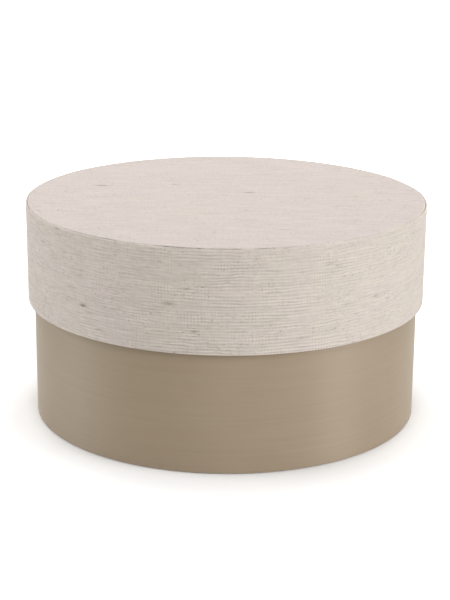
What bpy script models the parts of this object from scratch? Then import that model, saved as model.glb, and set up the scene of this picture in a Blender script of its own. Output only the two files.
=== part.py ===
"""Round gift box: a rigid board base and a deep lift-off lid.

Both halves are made as a bookbinder makes them. A turned ring of greyboard holds a disc of the same
board, cloth is drawn over the outside and turned in over the edges, and paper lines the inside.
The lid's band of linen has a folded hem that lies level with the top disc, so a fine groove runs
round the lid's top edge. Metres, +Z up, the box stands on z = 0 with its axis on the Z axis.
"""

import math

import bpy
from mathutils import Vector

# Overall sizes
LID_DIAMETER = 0.250
BOX_HEIGHT = 0.136
LID_HEIGHT = 0.062

# Boards and sheets
BOARD_THICKNESS = 0.002
LINEN_THICKNESS = 0.0004
BASE_CLOTH_THICKNESS = 0.0003
LINING_THICKNESS = 0.0002
FOOT_PAPER_THICKNESS = 0.00025

# Clearances
GLUE_GAP = 0.00015
HEM_GAP = 0.00015
GROOVE_WIDTH = 0.0002
SLIDE_CLEARANCE = 0.00055
SEAT_CLEARANCE = 0.0003

# Folds of the linen on the lid
TOP_EDGE_RADIUS = 0.0008
FLANGE_DEPTH = 0.012
HEM_DEPTH = 0.010
HEM_DROP = 0.0001
REBATE_CLEARANCE = 0.0005
LID_FOLD_RADIUS = 0.0007
LID_TURN_IN = 0.015

# Folds of the cloth on the base
BASE_FOLD_RADIUS = 0.0006
BASE_TURN_IN = 0.015
BASE_TURN_UNDER = 0.014
FOOT_MARGIN = 0.003

# Linings
LID_LINING_MARGIN = 0.003
BASE_LINING_MARGIN = 0.003
LINING_STEP_LENGTH = 0.002

# Lapped seams at the back
LAP_WIDTH = 0.016
LAP_INSET = 0.0012
LAP_ANGLE = math.radians(90)
LAP_STEPS = 4

# How far the lap is sunk in its cover, and how deep its rising face starts, of the cloth's thickness
LAP_SINK_SHARE = 0.5
LAP_START_SHARE = 0.25

BOARD_CHAMFER = 0.0003

# Facets and merging
SEGMENTS = 72
FOLD_STEPS = 2
HEM_STEPS = 4
MERGE_DISTANCE = 0.00001
SHARP_ANGLE = math.radians(50)

# Radii of the lid, from the outside in
LID_RADIUS = LID_DIAMETER / 2
RIM_BOARD_OUTER = LID_RADIUS - LINEN_THICKNESS - GLUE_GAP
RIM_BOARD_INNER = RIM_BOARD_OUTER - BOARD_THICKNESS
LID_TURN_IN_INNER = RIM_BOARD_INNER - GLUE_GAP - LINEN_THICKNESS
LID_LINING_LOW_RADIUS = LID_TURN_IN_INNER - GLUE_GAP - LINING_THICKNESS
LID_LINING_HIGH_RADIUS = RIM_BOARD_INNER - GLUE_GAP - LINING_THICKNESS
HEM_FOLD_RADIUS = LINEN_THICKNESS + HEM_GAP / 2
HEM_INNER = LID_RADIUS - 2 * HEM_FOLD_RADIUS
FLANGE_OUTER = HEM_INNER - GROOVE_WIDTH
REBATE_RADIUS = FLANGE_OUTER - LINEN_THICKNESS - GLUE_GAP

# Heights of the lid above its own lower edge
TOP_BOARD_TOP = LID_HEIGHT - LINEN_THICKNESS - GLUE_GAP
TOP_BOARD_LOW = TOP_BOARD_TOP - BOARD_THICKNESS
TOP_LINING_TOP = TOP_BOARD_LOW - GLUE_GAP
TOP_LINING_LOW = TOP_LINING_TOP - LINING_THICKNESS
HEM_TOP = LID_HEIGHT - HEM_DROP
REBATE_LOW = LID_HEIGHT - max(FLANGE_DEPTH, HEM_DROP + HEM_DEPTH) - REBATE_CLEARANCE
RIM_BOARD_LOW = LINEN_THICKNESS + GLUE_GAP

# Radii of the base, from the outside in
BASE_RADIUS = LID_LINING_LOW_RADIUS - SLIDE_CLEARANCE
WALL_OUTER = BASE_RADIUS - BASE_CLOTH_THICKNESS - GLUE_GAP
WALL_INNER = WALL_OUTER - BOARD_THICKNESS
BASE_TURN_IN_INNER = WALL_INNER - GLUE_GAP - BASE_CLOTH_THICKNESS
BASE_LINING_HIGH_RADIUS = BASE_TURN_IN_INNER - GLUE_GAP - LINING_THICKNESS
BASE_LINING_LOW_RADIUS = WALL_INNER - GLUE_GAP - LINING_THICKNESS

# Heights of the base above the table
LID_LOW = BOX_HEIGHT - LID_HEIGHT
BASE_HEIGHT = LID_LOW + TOP_LINING_LOW - SEAT_CLEARANCE
TURN_UNDER_LOW = FOOT_PAPER_THICKNESS + GLUE_GAP
BASE_BOARD_LOW = TURN_UNDER_LOW + BASE_CLOTH_THICKNESS + GLUE_GAP
WALL_BOARD_TOP = BASE_HEIGHT - BASE_CLOTH_THICKNESS - GLUE_GAP
FLOOR_TOP = BASE_BOARD_LOW + BOARD_THICKNESS

GREYBOARD = ("greyboard", (0.36, 0.33, 0.30), 0.92)
LINEN = ("lid_linen", (0.77, 0.70, 0.64), 0.90)
BASE_CLOTH = ("base_cloth", (0.42, 0.33, 0.25), 0.86)
LINING_PAPER = ("lining_paper", (0.84, 0.79, 0.71), 0.80)
FOOT_PAPER = ("foot_paper", (0.42, 0.34, 0.27), 0.88)


def empty_the_file():
    """Remove the objects that the file was opened with."""
    for item in list(bpy.data.objects):
        bpy.data.objects.remove(item, do_unlink=True)


def new_collection(name):
    """A collection of its own under the scene's."""
    group = bpy.data.collections.new(name)
    bpy.context.scene.collection.children.link(group)
    return group


def finish_material(finish):
    """The Principled material of one board, cloth or paper, made once."""
    name, colour, roughness = finish
    material = bpy.data.materials.get(name)
    if material is None:
        material = bpy.data.materials.new(name)
        material.use_nodes = True
        shader = material.node_tree.nodes["Principled BSDF"]
        shader.inputs["Base Color"].default_value = (*colour, 1.0)
        shader.inputs["Roughness"].default_value = roughness
        shader.inputs["Metallic"].default_value = 0.0
    return material


def half_frame(name, height, group):
    """The empty that carries one half of the box, on the line that the lid lifts along."""
    empty = bpy.data.objects.new(name, None)
    empty.location = (0.0, 0.0, height)
    group.objects.link(empty)
    return empty


def arc(centre, radius, start, end, steps):
    """Points on an arc in the (radius, height) plane, with both ends, angles in degrees."""
    points = []
    for step in range(steps + 1):
        angle = math.radians(start + (end - start) * step / steps)
        points.append((centre[0] + radius * math.cos(angle), centre[1] + radius * math.sin(angle)))
    return points


def offset_path(path, distance):
    """The path moved sideways to its left, with mitred corners."""
    points = [Vector(point) for point in path]
    lefts = []
    for start, end in zip(points, points[1:]):
        along = (end - start).normalized()
        lefts.append(Vector((-along.y, along.x)))
    moved = []
    for index, point in enumerate(points):
        before = lefts[max(index - 1, 0)]
        after = lefts[min(index, len(lefts) - 1)]
        moved.append(point + (before + after) * distance / (1.0 + before.dot(after)))
    return [(point.x, point.y) for point in moved]


def folded_sheet(path, thickness):
    """Outline of a sheet whose good side follows the path.

    Its back lies to the path's left, or to its right where the thickness is given as negative.
    """
    return path + offset_path(path, thickness)[::-1]


def runs_clockwise(outline):
    """Whether an outline goes down its outer side."""
    total = 0.0
    for start, end in zip(outline, outline[1:] + outline[:1]):
        total += start[0] * end[1] - end[0] * start[1]
    return total < 0.0


def turned(name, outline, finish, half, group):
    """A piece turned round the box's axis from its outline of (radius, height) points."""
    if not runs_clockwise(outline):
        outline = outline[::-1]
    edges = [(index, index + 1) for index in range(len(outline) - 1)]
    touches_axis = outline[0][0] == 0.0 and outline[-1][0] == 0.0
    if not touches_axis:
        edges.append((len(outline) - 1, 0))
    mesh = bpy.data.meshes.new(name)
    mesh.from_pydata([(radius, 0.0, height) for radius, height in outline], edges, [])
    piece = bpy.data.objects.new(name, mesh)
    group.objects.link(piece)
    piece.parent = half
    mesh.materials.append(finish_material(finish))
    screw = piece.modifiers.new("turn", "SCREW")
    screw.axis = "Z"
    screw.angle = math.tau
    screw.steps = SEGMENTS
    screw.render_steps = SEGMENTS
    screw.use_merge_vertices = True
    screw.merge_threshold = MERGE_DISTANCE
    return piece


def disc(name, radius, low, high, finish, half, group):
    """A flat round sheet or board."""
    outline = [(0.0, high), (radius, high), (radius, low), (0.0, low)]
    return turned(name, outline, finish, half, group)


def add_lap(cover, radius, thickness, low, high, cutters):
    """Join the overlapping end of a cloth band to its cover.

    The end rises out of the band over the width of the lap and stops at its cut edge.
    """
    angle = LAP_WIDTH / radius
    sunk = radius - thickness * LAP_SINK_SHARE
    outside = []
    inside = []
    for step in range(LAP_STEPS + 1):
        along = step / LAP_STEPS
        turn = LAP_ANGLE + angle * (along - 1 / 2)
        rise = radius + thickness * (along - LAP_START_SHARE * (1 - along))
        outside.append((rise * math.cos(turn), rise * math.sin(turn), low))
        inside.append((sunk * math.cos(turn), sunk * math.sin(turn), low))
    points = outside + inside[::-1]
    mesh = bpy.data.meshes.new(cover.name + "_lap")
    mesh.from_pydata(points, [], [tuple(range(len(points)))[::-1]])
    mesh.materials.append(cover.data.materials[0])
    lap = bpy.data.objects.new(cover.name + "_lap", mesh)
    lap.parent = cover.parent
    lap.hide_render = True
    lap.display_type = "WIRE"
    cutters.objects.link(lap)
    skin = lap.modifiers.new("height", "SOLIDIFY")
    skin.thickness = high - low
    skin.offset = -1.0
    join = cover.modifiers.new("lap", "BOOLEAN")
    join.operation = "UNION"
    join.solver = "EXACT"
    join.object = lap


def shade(piece):
    """Turn the modifiers into mesh and shade the round faces smooth, with crisp cut edges."""
    depsgraph = bpy.context.evaluated_depsgraph_get()
    mesh = bpy.data.meshes.new_from_object(piece.evaluated_get(depsgraph))
    drawn = piece.data
    piece.modifiers.clear()
    piece.data = mesh
    bpy.data.meshes.remove(drawn)
    mesh.name = piece.name
    mesh.shade_smooth()
    mesh.set_sharp_from_angle(angle=SHARP_ANGLE)


def lid_top_board(half, group):
    """The disc that closes the lid, set inside the rim ring and level with its top."""
    radius = RIM_BOARD_INNER - GLUE_GAP
    return disc("lid_top_board", radius, TOP_BOARD_LOW, TOP_BOARD_TOP, GREYBOARD, half, group)


def lid_rim_board(half, group):
    """The lid's ring of board, pressed back at the top where the turned cloths lie on it."""
    outline = [
        (RIM_BOARD_INNER, TOP_BOARD_TOP),
        (REBATE_RADIUS - BOARD_CHAMFER, TOP_BOARD_TOP),
        (REBATE_RADIUS, TOP_BOARD_TOP - BOARD_CHAMFER),
        (REBATE_RADIUS, REBATE_LOW),
        (RIM_BOARD_OUTER, REBATE_LOW),
        (RIM_BOARD_OUTER, RIM_BOARD_LOW),
        (RIM_BOARD_INNER, RIM_BOARD_LOW),
    ]
    return turned("lid_rim_board", outline, GREYBOARD, half, group)


def lid_top_cover(half, group):
    """The linen disc on the lid, with its edge rolled down over the rim ring."""
    roll_centre = (FLANGE_OUTER - TOP_EDGE_RADIUS, LID_HEIGHT - TOP_EDGE_RADIUS)
    path = [(FLANGE_OUTER, LID_HEIGHT - FLANGE_DEPTH)]
    path += arc(roll_centre, TOP_EDGE_RADIUS, 0, 90, FOLD_STEPS + 1)
    path += [(0.0, LID_HEIGHT)]
    return turned("lid_top_cover", folded_sheet(path, LINEN_THICKNESS), LINEN, half, group)


def lid_rim_cover(half, group, cutters):
    """The linen band round the lid: hemmed at the top, turned in over the lower edge."""
    hem_centre = (LID_RADIUS - HEM_FOLD_RADIUS, HEM_TOP - HEM_FOLD_RADIUS)
    outer_centre = (LID_RADIUS - LID_FOLD_RADIUS, LID_FOLD_RADIUS)
    inner_centre = (LID_TURN_IN_INNER + LID_FOLD_RADIUS, LID_FOLD_RADIUS)
    path = [(HEM_INNER, HEM_TOP - HEM_DEPTH)]
    path += arc(hem_centre, HEM_FOLD_RADIUS, 180, 0, HEM_STEPS)
    path += arc(outer_centre, LID_FOLD_RADIUS, 0, -90, FOLD_STEPS)
    path += arc(inner_centre, LID_FOLD_RADIUS, -90, -180, FOLD_STEPS)
    path += [(LID_TURN_IN_INNER, LID_TURN_IN)]
    outline = folded_sheet(path, -LINEN_THICKNESS)
    cover = turned("lid_rim_cover", outline, LINEN, half, group)
    add_lap(cover, LID_RADIUS, LINEN_THICKNESS, LAP_INSET, HEM_TOP - LAP_INSET, cutters)
    return cover


def lid_rim_lining(half, group):
    """The paper band inside the lid's rim, which steps over the raw edge of the turned-in linen."""
    step_low = LID_TURN_IN + GLUE_GAP
    path = [
        (LID_LINING_LOW_RADIUS, LID_LINING_MARGIN),
        (LID_LINING_LOW_RADIUS, step_low),
        (LID_LINING_HIGH_RADIUS, step_low + LINING_STEP_LENGTH),
        (LID_LINING_HIGH_RADIUS, TOP_BOARD_LOW - GLUE_GAP),
    ]
    outline = folded_sheet(path, -LINING_THICKNESS)
    return turned("lid_rim_lining", outline, LINING_PAPER, half, group)


def lid_top_lining(half, group):
    """The paper disc under the lid's top board."""
    radius = LID_LINING_HIGH_RADIUS - GLUE_GAP
    return disc("lid_top_lining", radius, TOP_LINING_LOW, TOP_LINING_TOP, LINING_PAPER, half, group)


def base_floor_board(half, group):
    """The disc that the box stands on, set inside the wall ring."""
    radius = WALL_INNER - GLUE_GAP
    return disc("base_floor_board", radius, BASE_BOARD_LOW, FLOOR_TOP, GREYBOARD, half, group)


def base_wall_board(half, group):
    """The base's ring of board, as tall as the box inside."""
    outline = [
        (WALL_INNER, WALL_BOARD_TOP),
        (WALL_OUTER, WALL_BOARD_TOP),
        (WALL_OUTER, BASE_BOARD_LOW),
        (WALL_INNER, BASE_BOARD_LOW),
    ]
    return turned("base_wall_board", outline, GREYBOARD, half, group)


def base_wall_cover(half, group, cutters):
    """The cloth round the base: turned in over the rim and turned under the foot."""
    rim_height = BASE_HEIGHT - BASE_FOLD_RADIUS
    foot_height = TURN_UNDER_LOW + BASE_FOLD_RADIUS
    inner_centre = (BASE_TURN_IN_INNER + BASE_FOLD_RADIUS, rim_height)
    outer_centre = (BASE_RADIUS - BASE_FOLD_RADIUS, rim_height)
    foot_centre = (BASE_RADIUS - BASE_FOLD_RADIUS, foot_height)
    path = [(BASE_TURN_IN_INNER, BASE_HEIGHT - BASE_TURN_IN)]
    path += arc(inner_centre, BASE_FOLD_RADIUS, 180, 90, FOLD_STEPS)
    path += arc(outer_centre, BASE_FOLD_RADIUS, 90, 0, FOLD_STEPS)
    path += arc(foot_centre, BASE_FOLD_RADIUS, 0, -90, FOLD_STEPS)
    path += [(BASE_RADIUS - BASE_TURN_UNDER, TURN_UNDER_LOW)]
    outline = folded_sheet(path, -BASE_CLOTH_THICKNESS)
    cover = turned("base_wall_cover", outline, BASE_CLOTH, half, group)
    low = TURN_UNDER_LOW + LAP_INSET
    add_lap(cover, BASE_RADIUS, BASE_CLOTH_THICKNESS, low, BASE_HEIGHT - LAP_INSET, cutters)
    return cover


def base_wall_lining(half, group):
    """The paper band inside the base, which steps over the raw edge of the turned-in cloth."""
    step_high = BASE_HEIGHT - BASE_TURN_IN - GLUE_GAP
    path = [
        (BASE_LINING_LOW_RADIUS, FLOOR_TOP + GLUE_GAP),
        (BASE_LINING_LOW_RADIUS, step_high - LINING_STEP_LENGTH),
        (BASE_LINING_HIGH_RADIUS, step_high),
        (BASE_LINING_HIGH_RADIUS, BASE_HEIGHT - BASE_LINING_MARGIN),
    ]
    outline = folded_sheet(path, -LINING_THICKNESS)
    return turned("base_wall_lining", outline, LINING_PAPER, half, group)


def base_floor_lining(half, group):
    """The paper disc on the floor of the base."""
    radius = BASE_LINING_LOW_RADIUS - GLUE_GAP
    low = FLOOR_TOP + GLUE_GAP
    high = low + LINING_THICKNESS
    return disc("base_floor_lining", radius, low, high, LINING_PAPER, half, group)


def base_foot_paper(half, group):
    """The paper disc under the base, which hides the turned-under edge of the cloth."""
    radius = BASE_RADIUS - FOOT_MARGIN
    return disc("base_foot_paper", radius, 0.0, FOOT_PAPER_THICKNESS, FOOT_PAPER, half, group)


def build():
    """Build the whole box."""
    empty_the_file()
    group = new_collection("round_gift_box")
    cutters = new_collection("cutters")
    base = half_frame("base", 0.0, group)
    lid = half_frame("lid", LID_LOW, group)
    pieces = [
        base_floor_board(base, group),
        base_wall_board(base, group),
        base_wall_cover(base, group, cutters),
        base_wall_lining(base, group),
        base_floor_lining(base, group),
        base_foot_paper(base, group),
        lid_top_board(lid, group),
        lid_rim_board(lid, group),
        lid_top_cover(lid, group),
        lid_rim_cover(lid, group, cutters),
        lid_rim_lining(lid, group),
        lid_top_lining(lid, group),
    ]
    for piece in pieces:
        shade(piece)


build()
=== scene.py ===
"""Round gift box: how it looks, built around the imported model.

The linen of the lid, the cloth of the base and the papers are made here as fine meshes, in the places
of the solids that they replace. The greyboards stay as they were packed and get a material.
Everything is in metres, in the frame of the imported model: the box stands on z = 0, its front is -Y.
"""

import math

import bpy
import numpy as np
from mathutils import Matrix, Vector

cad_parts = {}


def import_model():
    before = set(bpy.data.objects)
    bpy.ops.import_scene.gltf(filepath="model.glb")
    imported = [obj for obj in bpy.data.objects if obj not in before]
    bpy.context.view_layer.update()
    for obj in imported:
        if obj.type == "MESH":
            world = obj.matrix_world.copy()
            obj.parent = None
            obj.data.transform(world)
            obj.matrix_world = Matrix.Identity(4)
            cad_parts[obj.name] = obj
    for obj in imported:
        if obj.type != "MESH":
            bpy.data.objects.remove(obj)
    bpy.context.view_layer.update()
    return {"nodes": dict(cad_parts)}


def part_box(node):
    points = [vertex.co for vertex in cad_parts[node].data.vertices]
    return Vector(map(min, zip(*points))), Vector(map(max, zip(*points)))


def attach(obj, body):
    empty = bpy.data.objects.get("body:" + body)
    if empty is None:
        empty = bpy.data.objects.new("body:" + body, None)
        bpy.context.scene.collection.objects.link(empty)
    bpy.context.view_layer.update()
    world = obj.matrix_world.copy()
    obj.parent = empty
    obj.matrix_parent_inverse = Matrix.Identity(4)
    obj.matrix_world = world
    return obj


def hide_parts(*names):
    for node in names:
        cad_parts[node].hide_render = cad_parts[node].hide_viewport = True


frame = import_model()

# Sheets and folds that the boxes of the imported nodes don't give
BOARD_THICKNESS = 0.002
LINEN_THICKNESS = 0.0004
BASE_CLOTH_THICKNESS = 0.0003
PAPER_THICKNESS = 0.0002
SHEET_GAP = 0.00015
TOP_EDGE_RADIUS = 0.0008
HEM_FOLD_RADIUS = 0.000475
HEM_DEPTH = 0.010
LID_FOLD_RADIUS = 0.00045
LID_TURN_IN = 0.015
BASE_FOLD_RADIUS = 0.0006
BASE_TURN_IN = 0.015
BASE_TURN_UNDER = 0.014
LINING_STEP_LENGTH = 0.002

# The laps behind: their widths and their middle. A cloth's lap stops an inset short of the folds and
# fades there. A paper's lap stands out by a share of its thickness.
LINEN_LAP = 0.016
PAPER_LAP = 0.008
PAPER_LAP_SHARE = 0.6
LAP_ANGLE = math.radians(90)
LAP_INSET = 0.0012
LAP_FADE = 0.0006
CUT_EDGE = 0.00015
# A hair over 1, so that rounding doesn't leave the last column off the lap
LAP_END = 1.0001

# How fine the meshes are: columns round the box, the longest step between rows or rings, and the
# number of steps in a fold
SEAM_COLUMNS = 360
PAPER_COLUMNS = 240
TOP_COLUMNS = 64
YARN_ROW = 0.00042
TURNED_ROW = 0.0012
LINEN_BACK_ROW = 0.0030
TOP_ROW = 0.0005
TOP_RING_STEP = 0.0025
FLANGE_ROW = 0.003
BASE_ROW = 0.0015
BASE_FOOT_ROW = 0.0025
PAPER_ROW = 0.004
PLAIN_BACK_ROW = 0.006
FOLD_STEPS = 5
HEM_FOLD_STEPS = 10
ROLL_STEPS = 7
BEND_TOLERANCE = 1e-4
STEP_TOLERANCE = 1e-6
SHARP_ANGLE = math.radians(42)

# The linen's yarns: the thick lines that show from a step away, along and across the cloth, the fine
# threads between them, and how far the thick ones stand out
YARN_PITCH = 0.00185
CROSS_PITCH = 0.0019
THREAD_PITCH = 0.00062
BASE_THREAD_PITCH = 0.00042
YARN_RELIEF = 0.00014
ROW_RELIEF_SHARE = 0.7
LOOSE_RELIEF_SHARE = 0.35
FOLD_RELIEF_SHARE = 0.35
FOLD_FADE_ROWS = 4.0

# How far the yarns stray, in radians of a row, and how clearly they show on the band: faint all round,
# clear and straighter in a stretch at the front
YARN_WANDER = 2.4
FAINT_YARNS = 0.45
CLEAR_YARNS = 1.15
CLEAR_MIDDLE = math.radians(-86)
CLEAR_HALF_WIDTH = math.radians(34)
CLEAR_STRAIGHT = 0.5
# Broken streaks and flecks are strongest on the band's left and weakest opposite
BROKEN_MIDDLE = math.radians(-150)
BROKEN_LEAST = 0.35
BROKEN_POWER = 1.5
# How strongly the yarns, flecks and streaks show on the lid's top, its rosy tint, and half its size
TOP_YARNS = 0.45
TOP_FLECKS = 0.45
TOP_BROKEN = 0.15
TOP_ROSE = 0.6
TOP_REACH = 0.125

# The first seed of each piece's noise
BAND_SEED = 11
TOP_SEED = 37
BASE_SEED = 51
WALL_PAPER_SEED = 61
RIM_PAPER_SEED = 62
FLOOR_PAPER_SEED = 63
HEM_SEED = 71
GROOVE_SEED = 81
SLUB_SEED_STEP = 4

# Layers of smooth noise: the step from the first seed, a cell's two sizes, and the weight
STRAY_LAYERS = ((0, 0.030, 0.007, 1.0), (1, 0.011, 0.0035, 0.5), (6, 0.0065, 0.0022, 0.85))
STRENGTH_LAYERS = ((2, 0.032, 0.013, 0.38), (5, 0.009, 0.0035, 0.50))
STRENGTH_LEVEL = 0.58
STRENGTH_LIMITS = (0.05, 1.1)
LOOSE_LAYERS = ((3, 0.012, 0.0012, 1.0),)
GROOVE_LAYERS = ((0, 0.011, 1.0, 1.0), (1, 0.0035, 1.0, 0.5))
HEM_LAYERS = ((0, 0.016, 1.0, 0.65), (1, 0.0045, 1.0, 0.35))
BASE_LAYERS = ((0, 0.05, 0.03, 0.00003), (1, 0.02, 0.008, 0.00002))
OPEN_NOISE_CELLS = 4096
NOISE_ROWS = 512

# The linings' uneven faces, and the cockles of the floor's paper, which fade towards its edge
PAPER_UNEVEN = 0.000025
PAPER_CELL = (0.03, 0.02)
COCKLE_HEIGHT = 0.00005
COCKLE_CELL = (0.03, 0.024)
COCKLE_SHIFT = 0.2
COCKLE_FADE = 0.02

# Slubs, thick places in the yarns: how many a square metre, the share of long ones, the half length and
# rise of long and short ones, the half width and slope of both, and how far each is worked out, in half
# lengths along the yarn and in metres across it
SLUBS_PER_AREA = 5200
LONG_SHARE = 0.22
LONG_SLUBS = ((0.010, 0.024), (0.00004, 0.00010))
SHORT_SLUBS = ((0.0009, 0.0042), (0.00006, 0.00022))
SLUB_HALF_WIDTHS = (0.00035, 0.00075)
SLUB_SLOPES = (-0.03, 0.03)
SLUB_REACH_ALONG = 3
SLUB_REACH_ACROSS = 0.003
# The short ones may hold brown husk, and the long ones are paler or darker yarn
FLECK_SHARE = 0.5
FLECK_LEAST = 0.15
FLECK_POWER = 2.2
LONG_LOOSENESS = (-0.9, 0.7)

# The darkest husks: degrees round from the front (or x) and height (or y), half size, how dark
BAND_HUSKS = ((-41.0, 0.0934, 0.0026, 0.0009, 1.0), (-8.0, 0.0878, 0.0019, 0.0007, 0.8),
              (-15.0, 0.1032, 0.0036, 0.0012, 0.6), (44.0, 0.0994, 0.0022, 0.0007, 0.5),
              (-10.0, 0.1126, 0.0021, 0.0007, 0.55), (28.0, 0.1242, 0.0024, 0.0007, 0.45))
TOP_HUSKS = ((-0.0802, 0.0290, 0.0025, 0.0013, 1.2), (0.0140, 0.0125, 0.0025, 0.0013, 1.2),
             (-0.0325, 0.0335, 0.0016, 0.0011, 0.8))

# The hem: how far it lies below the lid's top, how it rises and falls, and the highlight painted on its outer
# fold
HEM_LOWER = 0.00012
HEM_WAVE = 0.00016
HEM_WAVE_MIDDLE = 0.6
HEM_FOLD_RADII = 2.2
HEM_PAINTED_HIGHLIGHT = -0.34
HEM_PAINTED_HIGHLIGHT_ROWS = 4.0

# The groove between the hem and the lid's top: how far the top's edge draws in where it is open, how
# its openness comes and goes, and the rows over which painted shade darkens the cloth beside it
GROOVE_DRAW_IN = 0.00030
FLANGE_HELD = 0.004
GROOVE_RADIUS = 0.124
GROOVE_LEVEL = 0.08
GROOVE_CHANGE = 0.25
GROOVE_MOST = 0.30
GROOVE_SIDES_SHUT = 0.9
# Painted light: how much paler the cloth in the groove is painted where it is shut
GROOVE_SHUT_PAINTED_LIGHT = 0.2
GROOVE_HEM_ROWS = 3.0
GROOVE_ROLL_ROWS = 2.0
# The stretch at the front where it is open most, and the places where it gapes: the angle and half
# the length of each, both in degrees, and how far it is open
GROOVE_FRONT = math.radians(-106)
GROOVE_FRONT_WIDTH = math.radians(38)
GROOVE_FRONT_OPEN = 0.24
GROOVE_FRONT_CHANGE = 0.5
GROOVE_GAPS = ((-105.5, 1.2, 0.95), (-101.7, 1.0, 0.7), (-96.8, 1.1, 0.9), (-87.5, 1.8, 0.6),
               (-80.5, 1.4, 0.6))

# Colours, linear
LINEN_WARM = (0.735, 0.663, 0.588)
LINEN_ROSE = (0.745, 0.657, 0.614)
FLECK_BROWN = (0.17, 0.125, 0.09)
BASE_TAUPE = (0.386, 0.295, 0.195)
BASE_TAUPE_LIGHT = (0.416, 0.322, 0.218)
PAPER_IVORY = (0.80, 0.75, 0.66)
PAPER_IVORY_DARK = (0.72, 0.665, 0.575)
FOOT_TAUPE = (0.40, 0.33, 0.26)
FOOT_TAUPE_DARK = (0.31, 0.25, 0.19)
BOARD_GREY = (0.36, 0.33, 0.30)
BOARD_GREY_DARK = (0.22, 0.20, 0.18)
FLOOR_WHITE = (0.92, 0.92, 0.92)
PURE_WHITE = (1.0, 1.0, 1.0, 1.0)

# Noise in the materials: cells a metre in the three directions, detail, roughness, and for some what
# their range becomes: from low, from high, to low, to high
NOISES = {
    "rosy": ((28.0, 45.0, 1.0), 2.0, 0.55, (0.42, 0.66, 0.0, 0.7)),
    "mottle": ((95.0, 170.0, 1.0), 3.0, 0.6),
    "hairs": ((240.0, 1500.0, 1.0), 3.0, 0.6),
    "cross_hairs": ((900.0, 110.0, 1.0), 2.0, 0.6),
    "stray": ((60.0, 90.0, 1.0), 2.0, 0.55),
    "cross_patch": ((55.0, 90.0, 1.0), 2.0, 0.55, (0.53, 0.66, 0.0, 1.0)),
    "streaks": ((130.0, 620.0, 1.0), 2.0, 0.6),
    "dashes": ((260.0, 1050.0, 1.0), 2.0, 0.55, (0.62, 0.76, 0.0, 0.22)),
    "husk_areas": ((34.0, 62.0, 1.0), 2.0, 0.55, (0.44, 0.62, 0.15, 1.0)),
    "husks": ((360.0, 1150.0, 1.0), 2.0, 0.6, (0.60, 0.73, 0.0, 0.75)),
    "shreds": ((620.0, 2700.0, 1.0), 2.0, 0.6, (0.42, 0.55, 0.22, 1.15)),
    "base_streaks": ((14.0, 620.0, 1.0), 4.0, 0.6),
    "base_clouds": ((22.0, 30.0, 1.0), 2.0, 0.55),
    "base_fibres": ((2600.0, 420.0, 1.0), 2.0, 0.6),
    "felt_clouds": ((35.0, 50.0, 40.0), 3.0, 0.55),
}
FELT_STRETCH = (1.0, 1.7, 1.3)
FELT_GRAIN = (6.0, 0.65)
LINEN_ROUGHNESS = (0.3, 0.7, 0.76, 0.88)
BASE_ROUGHNESS = (0.3, 0.7, 0.54, 0.64)
BASE_COLOUR_RANGE = (0.35, 0.65, 0.0, 1.0)
FELT_COLOUR_RANGE = (0.36, 0.64, 0.0, 1.0)
FELT_MIDDLE = (0.3, 0.7)
FELT_SMOOTHER = 0.06
FELT_ROUGHER = 0.05

# Finish: gloss, sheen, how much each part lightens or raises a cloth, and the height of its bumps
SHEEN_ROUGHNESS = 0.6
LINEN_SPECULAR = 0.2
LINEN_SHEEN = 0.06
BASE_SPECULAR = 0.95
PAPER_SPECULAR = 0.3
CLOTH_ANISOTROPY = 0.85
ANISOTROPY_TURN = 0.25
NARROW_DIPS = -0.28
THREAD_CRIMP = 0.25
THREAD_STRAY = 9.0
LINEN_LIGHT = 0.70
LINEN_LIGHT_PARTS = {"rows": 0.10, "loose": 0.05, "cross": 0.07, "hairs": 0.21, "cross_hairs": 0.16,
                     "mottle": 0.10, "streaks": 0.36, "weave": 0.16}
# How strongly the painted shade and light of the groove and the hem darken or lighten the linen
PAINTED_LIGHT_AND_SHADE_WEIGHT = -0.60
LINEN_HEIGHT_PARTS = {"hairs": 0.45, "weave": 0.60, "cross": 0.15}
LINEN_BUMP = 0.00009
BASE_COLOUR_PARTS = {"clouds": 0.4, "streaks": 0.6}
BASE_LIGHT = 0.886
BASE_LIGHT_PARTS = {"fibres": 0.06, "weave": 0.12}
BASE_HEIGHT_PARTS = {"fibres": 0.5, "weave": 0.5}
BASE_BUMP = 0.000018
FELT_PARTS = {"clouds": 0.35, "felt": 0.65}

# Camera, fitted to the photograph
CAMERA_PLACE = (-0.0004, -0.9515, 0.3611)
CAMERA_PITCH = math.radians(17.1)
CAMERA_ROLL = math.radians(0.48)
CAMERA_LENS = 93.4
CAMERA_SENSOR = 36.0

# Light and floor
WORLD_LIGHT = 0.12
# The floor's own white, seen only by the camera, is weaker near the box: painted shade round the box, with a
# darker painted contact shadow next to the foot
FLOOR_OWN_WHITE = 0.24
FLOOR_FADE_START = 0.121
FLOOR_FADE_END = 0.252
FLOOR_CONTACT_END = 0.129
FLOOR_PAINTED_CONTACT_SHADOW = -0.085
FLOOR_SIZE = 8.0
LIGHT_AIM = (0.0, 0.0, 0.07)
# Each lamp's azimuth from the front towards +X, elevation, distance, diameter and power
LAMPS = (("overhead", 0, 88, 1.5, 1.2, 4.9), ("front_high", 0, 42, 1.6, 0.9, 5.9),
         ("right_key", 65, 12, 1.5, 0.7, 8.3), ("left_fill", -93, 20, 1.5, 0.9, 5.9),
         ("back_left", -150, 40, 1.5, 1.0, 5.6), ("back_right", 150, 40, 1.5, 1.0, 6.8))


def arc(centre, radius, start, end, steps):
    """Points on an arc in the (radius, height) plane, with both ends, angles in degrees."""
    turns = np.radians(np.linspace(start, end, steps + 1))
    return [(centre[0] + radius * math.cos(t), centre[1] + radius * math.sin(t)) for t in turns]


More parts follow.
